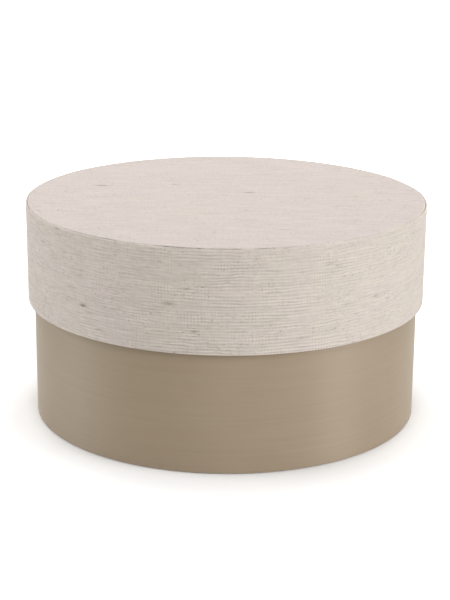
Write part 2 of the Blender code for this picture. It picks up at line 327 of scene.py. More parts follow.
def subdivided(path, longest):
    """The path with points added, so that no stretch is longer than the given length."""
    points = [path[0]]
    for start, end in zip(path, path[1:]):
        count = max(1, math.ceil(math.dist(start, end) / longest - STEP_TOLERANCE))
        for step in range(1, count + 1):
            share = step / count
            points.append((start[0] + (end[0] - start[0]) * share, start[1] + (end[1] - start[1]) * share))
    return points


def lengths_along(path):
    """The distance of each point of a path from its start."""
    steps = [math.dist(a, b) for a, b in zip(path, path[1:])]
    return np.concatenate([[0.0], np.cumsum(steps)])


def lefts_of(steps):
    """The directions to the left of some steps, one unit long."""
    along = steps / np.linalg.norm(steps, axis=1, keepdims=True)
    return np.stack([-along[:, 1], along[:, 0]], axis=1)


def offset_path(path, distance):
    """The path moved sideways to its left, with mitred corners."""
    points = np.array(path)
    lefts = lefts_of(np.diff(points, axis=0))
    before = np.vstack([lefts[:1], lefts])
    after = np.vstack([lefts, lefts[-1:]])
    spread = 1.0 + np.sum(before * after, axis=1, keepdims=True)
    return [tuple(point) for point in points + (before + after) * distance / spread]


def wrapped(distance, period):
    """A distance round something closed, taken the shorter way: at most half a period to either side."""
    return (distance + period / 2) % period - period / 2


def bell(distance, half_width):
    """1 in the middle, fading to 0 on both sides."""
    return np.exp(-((distance / half_width) ** 2))


def smooth_noise(seed, u, v, cell_u, cell_v, period=None):
    """Smooth noise from -1 to 1 over cells of the given size, closed after one period along u."""
    random = np.random.default_rng(seed)
    count_u = round(period / cell_u) if period else OPEN_NOISE_CELLS
    if period:
        cell_u = period / count_u
    table = random.uniform(-1.0, 1.0, (count_u, NOISE_ROWS))
    place_u, place_v = u / cell_u, v / cell_v
    low_u, low_v = np.floor(place_u).astype(int), np.floor(place_v).astype(int)
    part_u, part_v = place_u - low_u, place_v - low_v
    part_u, part_v = part_u**2 * (3 - 2 * part_u), part_v**2 * (3 - 2 * part_v)

    def at(du, dv):
        return table[(low_u + du) % count_u, (low_v + dv) % NOISE_ROWS]

    low = at(0, 0) * (1 - part_u) + at(1, 0) * part_u
    high = at(0, 1) * (1 - part_u) + at(1, 1) * part_u
    return low * (1 - part_v) + high * part_v


def layered_noise(seed, u, v, layers, period=None, level=0.0, times=1.0):
    """Layers of smooth noise, each times its weight and the given number, added up over a level."""
    total = level
    for step, cell_u, cell_v, weight in layers:
        total = total + weight * times * smooth_noise(seed + step, u, v, cell_u, cell_v, period)
    return total


def linen_surface(seed, u, v, low, high, husks, flecks, wander=YARN_WANDER, period=None):
    """The relief in metres at points of the cloth, and what the linen's material needs to know there.

    The yarns run along u. phase is how far they stray from even rows, strength how clearly they show, and
    loose the single yarns that are paler or darker. Some slubs hold brown husk, which is fleck, all of it
    times flecks. The husks are extra: their place, half size and depth.
    """
    phase = layered_noise(seed, u, v, STRAY_LAYERS, period, times=wander)
    strength = layered_noise(seed, u, v, STRENGTH_LAYERS, period, level=STRENGTH_LEVEL)
    strength = np.clip(strength, *STRENGTH_LIMITS)
    loose = layered_noise(seed, u, v, LOOSE_LAYERS, period)
    rows = ROW_RELIEF_SHARE * strength * np.cos(math.tau * v / YARN_PITCH + phase)
    relief = YARN_RELIEF * (rows + LOOSE_RELIEF_SHARE * loose)
    fleck = np.zeros_like(relief)

    def from_middle(middle_u):
        return wrapped(u - middle_u, period) if period else u - middle_u

    random = np.random.default_rng(seed + SLUB_SEED_STEP)
    width, height = high[0] - low[0], high[1] - low[1]
    for _ in range(round(SLUBS_PER_AREA * width * height)):
        middle_u = low[0] + width * random.random()
        middle_v = low[1] + height * random.random()
        long = random.random() < LONG_SHARE
        half_lengths, rises = LONG_SLUBS if long else SHORT_SLUBS
        half_length = random.uniform(*half_lengths)
        half_width = random.uniform(*SLUB_HALF_WIDTHS)
        rise = random.uniform(*rises)
        slope = random.uniform(*SLUB_SLOPES)
        brown = random.random() < FLECK_SHARE
        depth = random.random() ** FLECK_POWER
        along = from_middle(middle_u)
        near = (np.abs(along) < SLUB_REACH_ALONG * half_length) & (np.abs(v - middle_v) < SLUB_REACH_ACROSS)
        offset = v[near] - middle_v - slope * along[near]
        shape = np.exp(-((along[near] / half_length) ** 2) - (offset / half_width) ** 2)
        relief[near] += rise * shape
        if brown and not long:
            fleck[near] = np.maximum(fleck[near], shape * (FLECK_LEAST + (1.0 - FLECK_LEAST) * depth))
        elif long:
            loose[near] += shape * random.uniform(*LONG_LOOSENESS)
    fleck *= flecks
    for middle_u, middle_v, half_length, half_width, depth in husks:
        shape = np.exp(-((from_middle(middle_u) / half_length) ** 2) - ((v - middle_v) / half_width) ** 2)
        fleck = np.maximum(fleck, shape * depth)
    return relief, {"phase": phase, "strength": strength, "loose": loose, "fleck": fleck}


def groove_openness(angles):
    """How far the groove round the lid's top stands open, from 0 to 1: least on the left and right, and
    most at the front, where it gapes in a few short places."""
    arcs, period = angles % math.tau * GROOVE_RADIUS, math.tau * GROOVE_RADIUS
    wave = layered_noise(GROOVE_SEED, arcs, arcs * 0, GROOVE_LAYERS, period)
    openness = np.clip(GROOVE_LEVEL + GROOVE_CHANGE * wave, 0.0, GROOVE_MOST)
    openness = openness * (1.0 - GROOVE_SIDES_SHUT * np.cos(angles) ** 2)
    front = GROOVE_FRONT_OPEN * bell(wrapped(angles - GROOVE_FRONT, math.tau), GROOVE_FRONT_WIDTH)
    openness += front * (1.0 + GROOVE_FRONT_CHANGE * wave)
    for middle, half_length, depth in GROOVE_GAPS:
        off_middle = wrapped(angles - math.radians(middle), math.tau)
        openness = np.maximum(openness, depth * bell(off_middle, math.radians(half_length)))
    return np.clip(openness, 0.0, 1.0)


def painted_groove_shade_and_light(openness):
    """Painted shade and light on the cloth in the groove: darker where it stands open, paler where it is
    shut.
    """
    return openness - GROOVE_SHUT_PAINTED_LIGHT * (1.0 - openness)


def make_piece(name, points, faces, places, material, values=None):
    """A mesh piece from its points, its faces and each face corner's place on the flat cloth. The values
    are what its material needs to know at each point."""
    mesh = bpy.data.meshes.new(name)
    mesh.from_pydata(points.tolist(), [], faces)
    cloth = mesh.uv_layers.new(name="cloth")
    cloth.data.foreach_set("uv", np.concatenate(places).astype(np.float32).ravel())
    for label, numbers in (values or {}).items():
        attribute = mesh.attributes.new(label, "FLOAT", "POINT")
        attribute.data.foreach_set("value", numbers.astype(np.float32).ravel())
    mesh.validate()
    mesh.shade_smooth()
    mesh.set_sharp_from_angle(angle=SHARP_ANGLE)
    mesh.materials.append(material)
    piece = bpy.data.objects.new(name, mesh)
    bpy.context.scene.collection.objects.link(piece)
    return piece


def lapped_columns(count, radius, lap):
    """Angles of the columns of a lapped band, with a close pair at the cut edge of its lap."""
    before = LAP_ANGLE + lap / radius / 2
    after = before + CUT_EDGE / radius
    spare = (after - before) * 2
    even = np.arange(count) * math.tau / count
    clear = [angle for angle in even if not before - spare < angle < after + spare]
    return np.array(sorted([*clear, before - spare, before, after, after + spare]))


def lap_rise(angles, radius, width, thickness):
    """How far the lapped end of a band stands out: it rises over its width and stops at the cut edge."""
    half = width / radius / 2
    along = (angles - (LAP_ANGLE - half)) / (2 * half)
    return np.where((along >= 0) & (along <= LAP_END), thickness * along, 0.0)


def wall_lap(path, on_wall, low, high, angles, radius, thickness):
    """How far a cloth's lap stands out on its wall, which it does to a little short of the folds."""
    heights = np.array([point[1] for point in path])[:, None]
    inset = np.clip((high - LAP_INSET - heights) / LAP_FADE, 0.0, 1.0)
    inset = inset * np.clip((heights - low - LAP_INSET) / LAP_FADE, 0.0, 1.0)
    return np.where(on_wall, inset, 0.0) * lap_rise(angles, radius, LINEN_LAP, thickness)


def back_rows(path, lengths, longest):
    """The points of a path that its sheet's back needs too: its ends, its bends, and some between."""
    keep = [0]
    for index in range(1, len(path) - 1):
        turn = np.subtract(path[index + 1], path[index])
        last = np.subtract(path[index], path[index - 1])
        least = BEND_TOLERANCE * np.linalg.norm(turn) * np.linalg.norm(last)
        bent = abs(turn[0] * last[1] - turn[1] * last[0]) > least
        if bent or lengths[index] - lengths[keep[-1]] > longest:
            keep.append(index)
    return keep + [len(path) - 1]


def turned_sheet(name, path, back_longest, thickness, angles, material, relief, values=None):
    """A closed sheet turned round the Z axis. Its good side follows the path of (radius, height) points,
    moved out by the relief, which is to the path's left. Its back lies the thickness to the right."""
    face = np.array(path)
    face_lengths = lengths_along(path)
    keep = back_rows(path, face_lengths, back_longest)
    back = np.array(offset_path([path[index] for index in keep], -thickness))
    rows = np.vstack([face, back[::-1]])
    row_lengths = np.concatenate([face_lengths, face_lengths[keep][::-1]])
    columns = len(angles)
    radii = np.repeat(rows[:, :1], columns, axis=1)
    heights = np.repeat(rows[:, 1:], columns, axis=1)
    outward = lefts_of(np.gradient(face, axis=0))
    radii[: len(face)] += relief * outward[:, :1]
    heights[: len(face)] += relief * outward[:, 1:]
    points = np.stack([radii * np.cos(angles), radii * np.sin(angles), heights], axis=2).reshape(-1, 3)

    arcs = np.append(angles, angles[0] + math.tau) * float(np.max(face[:, 0]))
    quads, places = [], []
    total = len(rows)
    for row in range(total):
        after = (row + 1) % total
        for column in range(columns):
            beside = (column + 1) % columns
            quads.append((after * columns + column, after * columns + beside,
                          row * columns + beside, row * columns + column))
            left, right = arcs[column], arcs[column + 1]
            here, there = row_lengths[row], row_lengths[after]
            places.append(np.array([(left, there), (right, there), (right, here), (left, here)]))
    on_back = ((0, total - len(face)), (0, 0))
    spread = {label: np.pad(numbers, on_back).ravel() for label, numbers in (values or {}).items()}
    return make_piece(name, points, quads, places, material, spread)


def paper_disc(name, node_name, body, material, cockle=0.0):
    """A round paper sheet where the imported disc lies, its upper side cockled by a height."""
    low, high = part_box(node_name)
    radius, columns = high.x, PAPER_COLUMNS
    rings = np.linspace(0.0, radius, round(radius / PAPER_ROW) + 1)[1:]
    angles = np.arange(columns) * math.tau / columns
    x = np.concatenate([[0.0], (rings[:, None] * np.cos(angles)).ravel()])
    y = np.concatenate([[0.0], (rings[:, None] * np.sin(angles)).ravel()])
    fade = np.clip((radius - np.hypot(x, y)) / COCKLE_FADE, 0.0, 1.0)
    noise = smooth_noise(FLOOR_PAPER_SEED, x + COCKLE_SHIFT, y + COCKLE_SHIFT, *COCKLE_CELL)
    top = np.stack([x, y, high.z + cockle * fade * noise], axis=1)
    rim = len(x)
    under_rim = np.column_stack([radius * np.cos(angles), radius * np.sin(angles), np.full(columns, low.z)])
    points = np.vstack([top, under_rim, [[0.0, 0.0, low.z]]])
    faces = []
    for column in range(columns):
        beside = (column + 1) % columns
        faces.append((0, 1 + column, 1 + beside))
        for ring in range(len(rings) - 1):
            here, there = 1 + ring * columns, 1 + (ring + 1) * columns
            faces.append((here + column, there + column, there + beside, here + beside))
        outer = 1 + (len(rings) - 1) * columns
        faces.append((outer + column, rim + column, rim + beside, outer + beside))
        faces.append((rim + beside, rim + column, rim + columns))
    places = [points[list(face)][:, :2] for face in faces]
    piece = make_piece(name, points, faces, places, material)
    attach(piece, body)
    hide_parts(node_name)


def start_material(name, specular, roughness=0.9, sheen=0.0):
    """A new material, its tree and its Principled shader, with its even values on the sockets."""
    material = bpy.data.materials.new(name)
    material.use_nodes = True
    shader = material.node_tree.nodes["Principled BSDF"]
    for label, value in (("Roughness", roughness), ("Specular IOR Level", specular),
                         ("Sheen Weight", sheen), ("Sheen Roughness", SHEEN_ROUGHNESS)):
        shader.inputs[label].default_value = value
    return material, material.node_tree, shader


def node(tree, kind, inputs=None, **settings):
    """A node of the given kind. Each input is a number, a tuple or the socket that feeds it."""
    made = tree.nodes.new("ShaderNode" + kind)
    for label, value in settings.items():
        setattr(made, label, value)
    for label, value in (inputs or {}).items():
        socket = made.inputs[label]
        if isinstance(value, bpy.types.NodeSocket):
            tree.links.new(value, socket)
        else:
            socket.default_value = value
    return made


def maths(tree, operation, first, second=0.0, third=0.0):
    """One number worked out from others."""
    return node(tree, "Math", {0: first, 1: second, 2: third}, operation=operation).outputs[0]


def weighed(tree, parts, weights, total=0.0):
    """Some of the parts, each times its weight, added to a total."""
    for label, weight in weights.items():
        total = maths(tree, "MULTIPLY_ADD", parts[label], weight, total)
    return total


def ranged(tree, value, low, high, new_low, new_high):
    """A number moved from one range to another, and kept inside it."""
    inputs = {"Value": value, "From Min": low, "From Max": high, "To Min": new_low, "To Max": new_high}
    return node(tree, "MapRange", inputs).outputs["Result"]


def stretched_noise(tree, place, scale, detail, rough, limits=None):
    """Noise from 0 to 1, drawn out by a different scale each way, or ranged by its limits."""
    mapped = node(tree, "Mapping", {"Vector": place, "Scale": scale})
    inputs = {"Vector": mapped.outputs[0], "Scale": 1.0, "Detail": detail, "Roughness": rough}
    made = node(tree, "TexNoise", inputs).outputs["Fac"]
    return ranged(tree, made, *limits) if limits else made


def noises(tree, place, *labels):
    """Some of the noises of the table, by their names."""
    return {label: stretched_noise(tree, place, *NOISES[label]) for label in labels}


def mixed(tree, factor, first, second):
    """A colour between two others."""
    inputs = {0: factor, 6: (*first, 1.0) if isinstance(first, tuple) else first,
              7: (*second, 1.0) if isinstance(second, tuple) else second}
    return node(tree, "Mix", inputs, data_type="RGBA").outputs[2]


def brightened(tree, colour, factor):
    """A colour times a number."""
    return node(tree, "VectorMath", {0: colour, "Scale": factor}, operation="SCALE").outputs["Vector"]


def bumped(tree, shader, height, distance):
    """Lets a height of 0 to 1 tilt the shading, as if it stood the distance proud."""
    bump = node(tree, "Bump", {"Height": height, "Distance": distance, "Strength": 1.0})
    tree.links.new(bump.outputs["Normal"], shader.inputs["Normal"])


def along_yarns(tree, shader):
    """Draws the gloss out across the yarns, as round fibres that run along the cloth's length do."""
    shader.inputs["Anisotropic"].default_value = CLOTH_ANISOTROPY
    shader.inputs["Anisotropic Rotation"].default_value = ANISOTROPY_TURN
    tangent = node(tree, "Tangent", direction_type="UV_MAP", uv_map="cloth")
    tree.links.new(tangent.outputs["Tangent"], shader.inputs["Tangent"])


def waves(tree, place, pitch, shift):
    """Rows a pitch apart along a coordinate, from -1 to 1, moved by a shift in radians. The dips are
    narrower than the crests."""
    turn = maths(tree, "MULTIPLY_ADD", place, math.tau / pitch, shift)
    crest = maths(tree, "COSINE", turn)
    second = maths(tree, "COSINE", maths(tree, "MULTIPLY", turn, 2.0))
    return maths(tree, "MULTIPLY_ADD", second, NARROW_DIPS, crest)


def husk_bits(tree, place, fleck):
    """Bits of brown husk, from 0 to 1: small ragged dashes, most of them in the flecks of the slubs and in
    some parts of the cloth."""
    areas, ragged, shreds = noises(tree, place, "husk_areas", "husks", "shreds").values()
    bits = maths(tree, "MULTIPLY", ragged, areas)
    in_slubs = maths(tree, "MULTIPLY", shreds, fleck)
    return maths(tree, "MINIMUM", maths(tree, "MAXIMUM", bits, in_slubs), 1.0)


def plain_weave(tree, place, pitch, stray_x=0.0, stray_y=0.0):
    """The height of a plain weave, from 0 in its holes to 1 on top of its threads, which lie the pitch
    apart and go over and under each other. The strays, in radians, let them wander."""
    parts = node(tree, "SeparateXYZ", {"Vector": place}).outputs
    along = maths(tree, "COSINE", maths(tree, "MULTIPLY_ADD", parts["X"], math.pi / pitch, stray_x))
    across = maths(tree, "COSINE", maths(tree, "MULTIPLY_ADD", parts["Y"], math.pi / pitch, stray_y))
    over = maths(tree, "MULTIPLY", along, across)
    weft_lift = maths(tree, "MULTIPLY_ADD", over, THREAD_CRIMP, 1.0 - THREAD_CRIMP)
    warp_lift = maths(tree, "MULTIPLY_ADD", over, -THREAD_CRIMP, 1.0 - THREAD_CRIMP)
    weft = maths(tree, "MULTIPLY", maths(tree, "ABSOLUTE", across), weft_lift)
    warp = maths(tree, "MULTIPLY", maths(tree, "ABSOLUTE", along), warp_lift)
    return maths(tree, "MAXIMUM", weft, warp)


def linen_material():
    """Pale slubby linen: yarns that come and go in patches, brown flecks, faint rose and straw."""
    material, tree, shader = start_material("slubby_linen", LINEN_SPECULAR, sheen=LINEN_SHEEN)
    along_yarns(tree, shader)
    place = node(tree, "UVMap", uv_map="cloth").outputs[0]
    axes = node(tree, "SeparateXYZ", {"Vector": place}).outputs
    told = {label: node(tree, "Attribute", attribute_name=label).outputs["Fac"]
            for label in ("phase", "strength", "loose", "fleck", "painted_light_and_shade", "broken", "rose")}
    noise = noises(tree, place, "rosy", "mottle", "hairs", "cross_hairs", "stray", "cross_patch", "streaks",
                   "dashes")

    rows = maths(tree, "MULTIPLY", waves(tree, axes["Y"], YARN_PITCH, told["phase"]), told["strength"])
    stray = maths(tree, "MULTIPLY", noise["stray"], THREAD_STRAY)
    weave = plain_weave(tree, place, THREAD_PITCH, stray, told["phase"])
    cross = maths(tree, "MULTIPLY", waves(tree, axes["X"], CROSS_PITCH, stray), noise["cross_patch"])
    cross = maths(tree, "MULTIPLY", cross, told["strength"])
    streaks = maths(tree, "SUBTRACT", noise["streaks"], 0.5)
    streaks = maths(tree, "MULTIPLY", streaks, told["broken"])
    parts = noise | {"rows": rows, "loose": told["loose"], "cross": cross, "weave": weave, "streaks": streaks}

    rosy = maths(tree, "ADD", noise["rosy"], told["rose"])
    colour = mixed(tree, maths(tree, "MINIMUM", rosy, 1.0), LINEN_WARM, LINEN_ROSE)
    light = weighed(tree, parts, LINEN_LIGHT_PARTS, LINEN_LIGHT)
    # The painted shade of the groove, and the painted light where it is shut and on the hem's fold, darken or
    # lighten the colour
    painted_light_factor = maths(tree, "MULTIPLY_ADD", told["painted_light_and_shade"], PAINTED_LIGHT_AND_SHADE_WEIGHT, 1.0)
    colour = brightened(tree, colour, maths(tree, "MULTIPLY", light, painted_light_factor))
    stain = maths(tree, "MAXIMUM", noise["dashes"], husk_bits(tree, place, told["fleck"]))
    colour = mixed(tree, stain, colour, FLECK_BROWN)
    tree.links.new(colour, shader.inputs["Base Color"])
    tree.links.new(ranged(tree, noise["hairs"], *LINEN_ROUGHNESS), shader.inputs["Roughness"])
    bumped(tree, shader, weighed(tree, parts, LINEN_HEIGHT_PARTS), LINEN_BUMP)
    return material


def base_cloth_material():
    """Smooth taupe book cloth: a fine plain weave with faint streaks round the box."""
    material, tree, shader = start_material("taupe_book_cloth", BASE_SPECULAR)
    along_yarns(tree, shader)
    place = node(tree, "UVMap", uv_map="cloth").outputs[0]
    parts = {"weave": plain_weave(tree, place, BASE_THREAD_PITCH)}
    for label in ("streaks", "clouds", "fibres"):
        parts[label] = stretched_noise(tree, place, *NOISES["base_" + label])
    shade = ranged(tree, weighed(tree, parts, BASE_COLOUR_PARTS), *BASE_COLOUR_RANGE)
    colour = mixed(tree, shade, BASE_TAUPE, BASE_TAUPE_LIGHT)
    colour = brightened(tree, colour, weighed(tree, parts, BASE_LIGHT_PARTS, BASE_LIGHT))
    tree.links.new(colour, shader.inputs["Base Color"])
    tree.links.new(ranged(tree, parts["fibres"], *BASE_ROUGHNESS), shader.inputs["Roughness"])
    bumped(tree, shader, weighed(tree, parts, BASE_HEIGHT_PARTS), BASE_BUMP)
    return material


def fibrous_material(name, light, dark, roughness, scale, depth, coordinates="cloth"):
    """Paper or board: a felt of fibres, lighter and darker, with a slightly uneven face."""
    material, tree, shader = start_material(name, PAPER_SPECULAR, roughness)
    if coordinates == "cloth":
        place = node(tree, "UVMap", uv_map="cloth").outputs[0]
    else:
        place = node(tree, "TexCoord").outputs["Object"]
    felt = stretched_noise(tree, place, tuple(scale * stretch for stretch in FELT_STRETCH), *FELT_GRAIN)
    parts = {"felt": felt, "clouds": stretched_noise(tree, place, *NOISES["felt_clouds"])}
    shade = ranged(tree, weighed(tree, parts, FELT_PARTS), *FELT_COLOUR_RANGE)
    tree.links.new(mixed(tree, shade, dark, light), shader.inputs["Base Color"])
    rough = ranged(tree, felt, *FELT_MIDDLE, roughness - FELT_SMOOTHER, roughness + FELT_ROUGHER)
    tree.links.new(rough, shader.inputs["Roughness"])
    bumped(tree, shader, felt, depth)
    return material


# The last three: colours, roughness, the felt's cells a metre, and the height of its bumps
LINEN = linen_material()
BASE_CLOTH = base_cloth_material()
LINING = fibrous_material("ivory_lining_paper", PAPER_IVORY, PAPER_IVORY_DARK, 0.80, 900.0, 0.00002)
FOOT = fibrous_material("taupe_foot_paper", FOOT_TAUPE, FOOT_TAUPE_DARK, 0.88, 700.0, 0.00003)
GREYBOARD = fibrous_material("solid_greyboard", BOARD_GREY, BOARD_GREY_DARK, 0.92, 520.0, 0.00005, "object")


def lid_band_linen():
    """The linen band round the lid: hemmed at the top, folded under at the lower edge, lapped behind."""
    low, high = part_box("lid_rim_cover")
    radius = high.x
    lower_edge, hem_top = low.z, high.z - HEM_LOWER
    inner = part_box("lid_rim_board")[1].x - BOARD_THICKNESS - SHEET_GAP - LINEN_THICKNESS
    hem_centre = (radius - HEM_FOLD_RADIUS, hem_top - HEM_FOLD_RADIUS)
    outer_centre = (radius - LID_FOLD_RADIUS, lower_edge + LID_FOLD_RADIUS)
    inner_centre = (inner + LID_FOLD_RADIUS, lower_edge + LID_FOLD_RADIUS)
    hem = subdivided([(radius - 2 * HEM_FOLD_RADIUS, hem_top - HEM_DEPTH),
                      (radius - 2 * HEM_FOLD_RADIUS, hem_centre[1])], TURNED_ROW)
    fold = arc(hem_centre, HEM_FOLD_RADIUS, 180, 0, HEM_FOLD_STEPS)
    wall = subdivided([fold[-1], (radius, outer_centre[1])], YARN_ROW)
    under = arc(outer_centre, LID_FOLD_RADIUS, 0, -90, FOLD_STEPS)
    under += arc(inner_centre, LID_FOLD_RADIUS, -90, -180, FOLD_STEPS)
    turn_in = subdivided([under[-1], (inner, lower_edge + LID_TURN_IN)], TURNED_ROW)
    path = hem + fold[1:] + wall[1:] + under[1:] + turn_in[1:]
    crown = len(hem) - 1 + HEM_FOLD_STEPS // 2
    first_wall = len(hem) - 1 + HEM_FOLD_STEPS
    last_wall = first_wall + len(wall) - 1

    period = math.tau * radius
    angles = lapped_columns(SEAM_COLUMNS, radius, LINEN_LAP)
    lengths = lengths_along(path)
    around, along = np.meshgrid(angles * radius, lengths)
    wall_start = lengths[first_wall] + hem_centre[1]
    husks = [(math.radians(turn - 90.0) % math.tau * radius, wall_start - height, *rest)
             for turn, height, *rest in BAND_HUSKS]
    clear = bell(wrapped(angles - CLEAR_MIDDLE, math.tau), CLEAR_HALF_WIDTH)
    leftness = (0.5 + 0.5 * np.cos(angles - BROKEN_MIDDLE)) ** BROKEN_POWER
    broken = BROKEN_LEAST + (1.0 - BROKEN_LEAST) * leftness
    wander = YARN_WANDER * (1.0 - CLEAR_STRAIGHT * clear)
    relief, cloth = linen_surface(BAND_SEED, around, along, (0.0, 0.0), (period, lengths[-1]), husks,
                                  broken, wander, period)
    cloth["broken"] = np.broadcast_to(broken, relief.shape)
    shown = FAINT_YARNS + CLEAR_YARNS * clear
    relief, cloth["strength"] = relief * shown, cloth["strength"] * shown

    rows = np.arange(len(path))[:, None]
    # Painted shade in the groove, on the rows above the hem's crown
    dark = np.clip((crown - rows) / GROOVE_HEM_ROWS, 0.0, 1.0) * painted_groove_shade_and_light(groove_openness(angles))
    # Painted highlight on the hem's outer fold, on the rows just past its crown
    painted_hem_highlight = np.clip(1.0 - (rows - crown - 1) / HEM_PAINTED_HIGHLIGHT_ROWS, 0.0, 1.0) * (rows > crown)
    cloth["painted_light_and_shade"] = dark + HEM_PAINTED_HIGHLIGHT * painted_hem_highlight
    on_wall = (rows >= first_wall) & (rows <= last_wall)
    reach = np.clip(np.minimum(rows - first_wall, last_wall - rows) / FOLD_FADE_ROWS, 0.0, 1.0)
    full_share = FOLD_RELIEF_SHARE + (1.0 - FOLD_RELIEF_SHARE) * reach
    share = np.where(on_wall, full_share, FOLD_RELIEF_SHARE)
    relief = relief * np.where(rows < len(hem), 0.0, share)
    relief = relief + wall_lap(path, on_wall, lower_edge, hem_top, angles, radius, LINEN_THICKNESS)

    piece = turned_sheet("lid_band_linen", path, LINEN_BACK_ROW, LINEN_THICKNESS, angles,
                         LINEN, relief, cloth)
    wave_hem(piece, hem_top, radius)
    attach(piece, "lid")
    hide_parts("lid_rim_cover")


def wave_hem(piece, hem_top, radius):
    """Lets the hem rise and fall a little, in long and in short waves."""
    mesh = piece.data
    places = np.empty(len(mesh.vertices) * 3, np.float32)
    mesh.vertices.foreach_get("co", places)
    places = places.reshape(-1, 3).astype(float)
    around = np.arctan2(places[:, 1], places[:, 0]) % math.tau * radius
    wave = layered_noise(HEM_SEED, around, around * 0, HEM_LAYERS, math.tau * radius)
    weight = np.clip((places[:, 2] - (hem_top - HEM_DEPTH)) / HEM_DEPTH, 0.0, 1.0) ** 2
    outer = np.hypot(places[:, 0], places[:, 1]) > radius - HEM_FOLD_RADII * HEM_FOLD_RADIUS
    places[:, 2] += np.where(outer, weight * HEM_WAVE * (wave - HEM_WAVE_MIDDLE), 0.0)
    mesh.vertices.foreach_set("co", places.astype(np.float32).ravel())
    mesh.update()


def top_turns(flat_radius):
    """Where the rows of the flat top meet its edge, as angles from -90 to 90 degrees. The rows lie an
    even step apart, or closer where that would be too long a step along the edge."""
    turns = [-math.pi / 2]
    while turns[-1] < 0.0:
        step = min(TOP_ROW / math.cos(turns[-1]), TOP_RING_STEP)
        turns.append(turns[-1] + step / flat_radius)
    turns[-1] = 0.0
    return np.array(turns + [-turn for turn in turns[-2::-1]])


def lid_top_linen():
    """The linen disc on the lid. Its threads run along X, and its edge rolls down into the groove."""
    low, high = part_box("lid_top_cover")
    flange, top, flange_low = high.x, high.z, low.z
    flat_radius = flange - TOP_EDGE_RADIUS

    # The flat part: rows of points along X, and one point more at its front and its back
    inner_turns = top_turns(flat_radius)[1:-1]
    shares = np.linspace(-1.0, 1.0, TOP_COLUMNS + 1)
    x = (flat_radius * np.cos(inner_turns))[:, None] * shares
    y = np.repeat((flat_radius * np.sin(inner_turns))[:, None], TOP_COLUMNS + 1, axis=1)
    rows, columns = x.shape
    grid = np.stack([x.ravel(), y.ravel()], axis=1)
    poles = np.array([(0.0, -flat_radius), (0.0, flat_radius)])
    flat = np.vstack([grid, poles])
    front, back = len(grid), len(grid) + 1

    def at(row, column):
        return row * columns + column

    ring = [front] + [at(row, columns - 1) for row in range(rows)]
    ring += [back] + [at(row, 0) for row in range(rows - 1, -1, -1)]
    ring_angles = np.arctan2(flat[ring][:, 1], flat[ring][:, 0])
    ring_count = len(ring)
    round_ring = np.stack([np.cos(ring_angles), np.sin(ring_angles)], axis=1)

    # The section of the edge, from the flat part over the roll to the flange's lower end, and its back
    roll = arc((flat_radius, top - TOP_EDGE_RADIUS), TOP_EDGE_RADIUS, 90, 0, ROLL_STEPS)
    path = roll + subdivided([roll[-1], (flange, flange_low)], FLANGE_ROW)[1:]
    lengths = flat_radius + lengths_along(path)
    corners = roll + [(flange, flange_low)]
    under = offset_path(corners, -LINEN_THICKNESS)[::-1]
    under_lengths = flat_radius + lengths_along(corners)[::-1]

    # The cloth on it, and the shade painted on its roll where the groove is
    openness = groove_openness(ring_angles)
    cloth_places = np.vstack([flat] + [round_ring * length for length in lengths[1:]])
    relief, cloth = linen_surface(TOP_SEED, cloth_places[:, 0], cloth_places[:, 1],
                                  (-TOP_REACH, -TOP_REACH), (TOP_REACH, TOP_REACH), TOP_HUSKS, TOP_FLECKS)
    relief, cloth["strength"] = relief * TOP_YARNS, cloth["strength"] * TOP_YARNS
    cloth["broken"] = np.full(len(cloth_places), TOP_BROKEN)
    cloth["rose"] = np.full(len(cloth_places), TOP_ROSE)
    turned = np.clip(np.arange(1, len(path)) / GROOVE_ROLL_ROWS, 0.0, 1.0)
    shade = np.outer(turned, painted_groove_shade_and_light(openness))
    cloth["painted_light_and_shade"] = np.concatenate([np.zeros(len(flat)), shade.ravel()])

    # The points: the flat part, the edge, which draws in where the groove is open, and the back
    points = [np.column_stack([flat, top + relief[: len(flat)]])]
    edge_relief = relief[len(flat):].reshape(-1, ring_count)
    for number, (row_radius, row_height) in enumerate(path[1:], 1):
        rolled = number / ROLL_STEPS
        lift = edge_relief[number - 1] * max(0.0, 1.0 - rolled)
        free = row_height > flange_low + FLANGE_HELD
        radius = row_radius - free * GROOVE_DRAW_IN * openness * min(1.0, rolled)
        points.append(np.column_stack([radius[:, None] * round_ring, row_height + lift]))
    for row_radius, row_height in under:
        points.append(np.column_stack([row_radius * round_ring, np.full(ring_count, row_height)]))
    points = np.vstack(points + [np.array([[0.0, 0.0, top - LINEN_THICKNESS]])])
    centre = len(points) - 1
    under_places = np.vstack([round_ring * length for length in under_lengths] + [np.zeros((1, 2))])
    all_places = np.vstack([cloth_places, under_places])

    # The faces: the flat part, the rings round it, and the fan that closes the back
    faces = []
    for row in range(rows - 1):
        for column in range(columns - 1):
            faces.append((at(row, column), at(row, column + 1), at(row + 1, column + 1), at(row + 1, column)))
    for column in range(columns - 1):
        faces.append((front, at(0, column + 1), at(0, column)))
        faces.append((at(rows - 1, column), at(rows - 1, column + 1), back))
    chain = [ring] + [range(first, first + ring_count) for first in range(len(flat), centre, ring_count)]
    for upper, lower in zip(chain, chain[1:]):
        for index in range(ring_count):
            beside = (index + 1) % ring_count
            faces.append((upper[index], lower[index], lower[beside], upper[beside]))
    for index in range(ring_count):
        faces.append((chain[-1][index], centre, chain[-1][(index + 1) % ring_count]))
    places = [all_places[list(face)] for face in faces]
    hidden = np.zeros(len(under_places))
    values = {label: np.concatenate([numbers, hidden]) for label, numbers in cloth.items()}
    piece = make_piece("lid_top_linen", points, faces, places, LINEN, values)
    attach(piece, "lid")
    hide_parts("lid_top_cover")


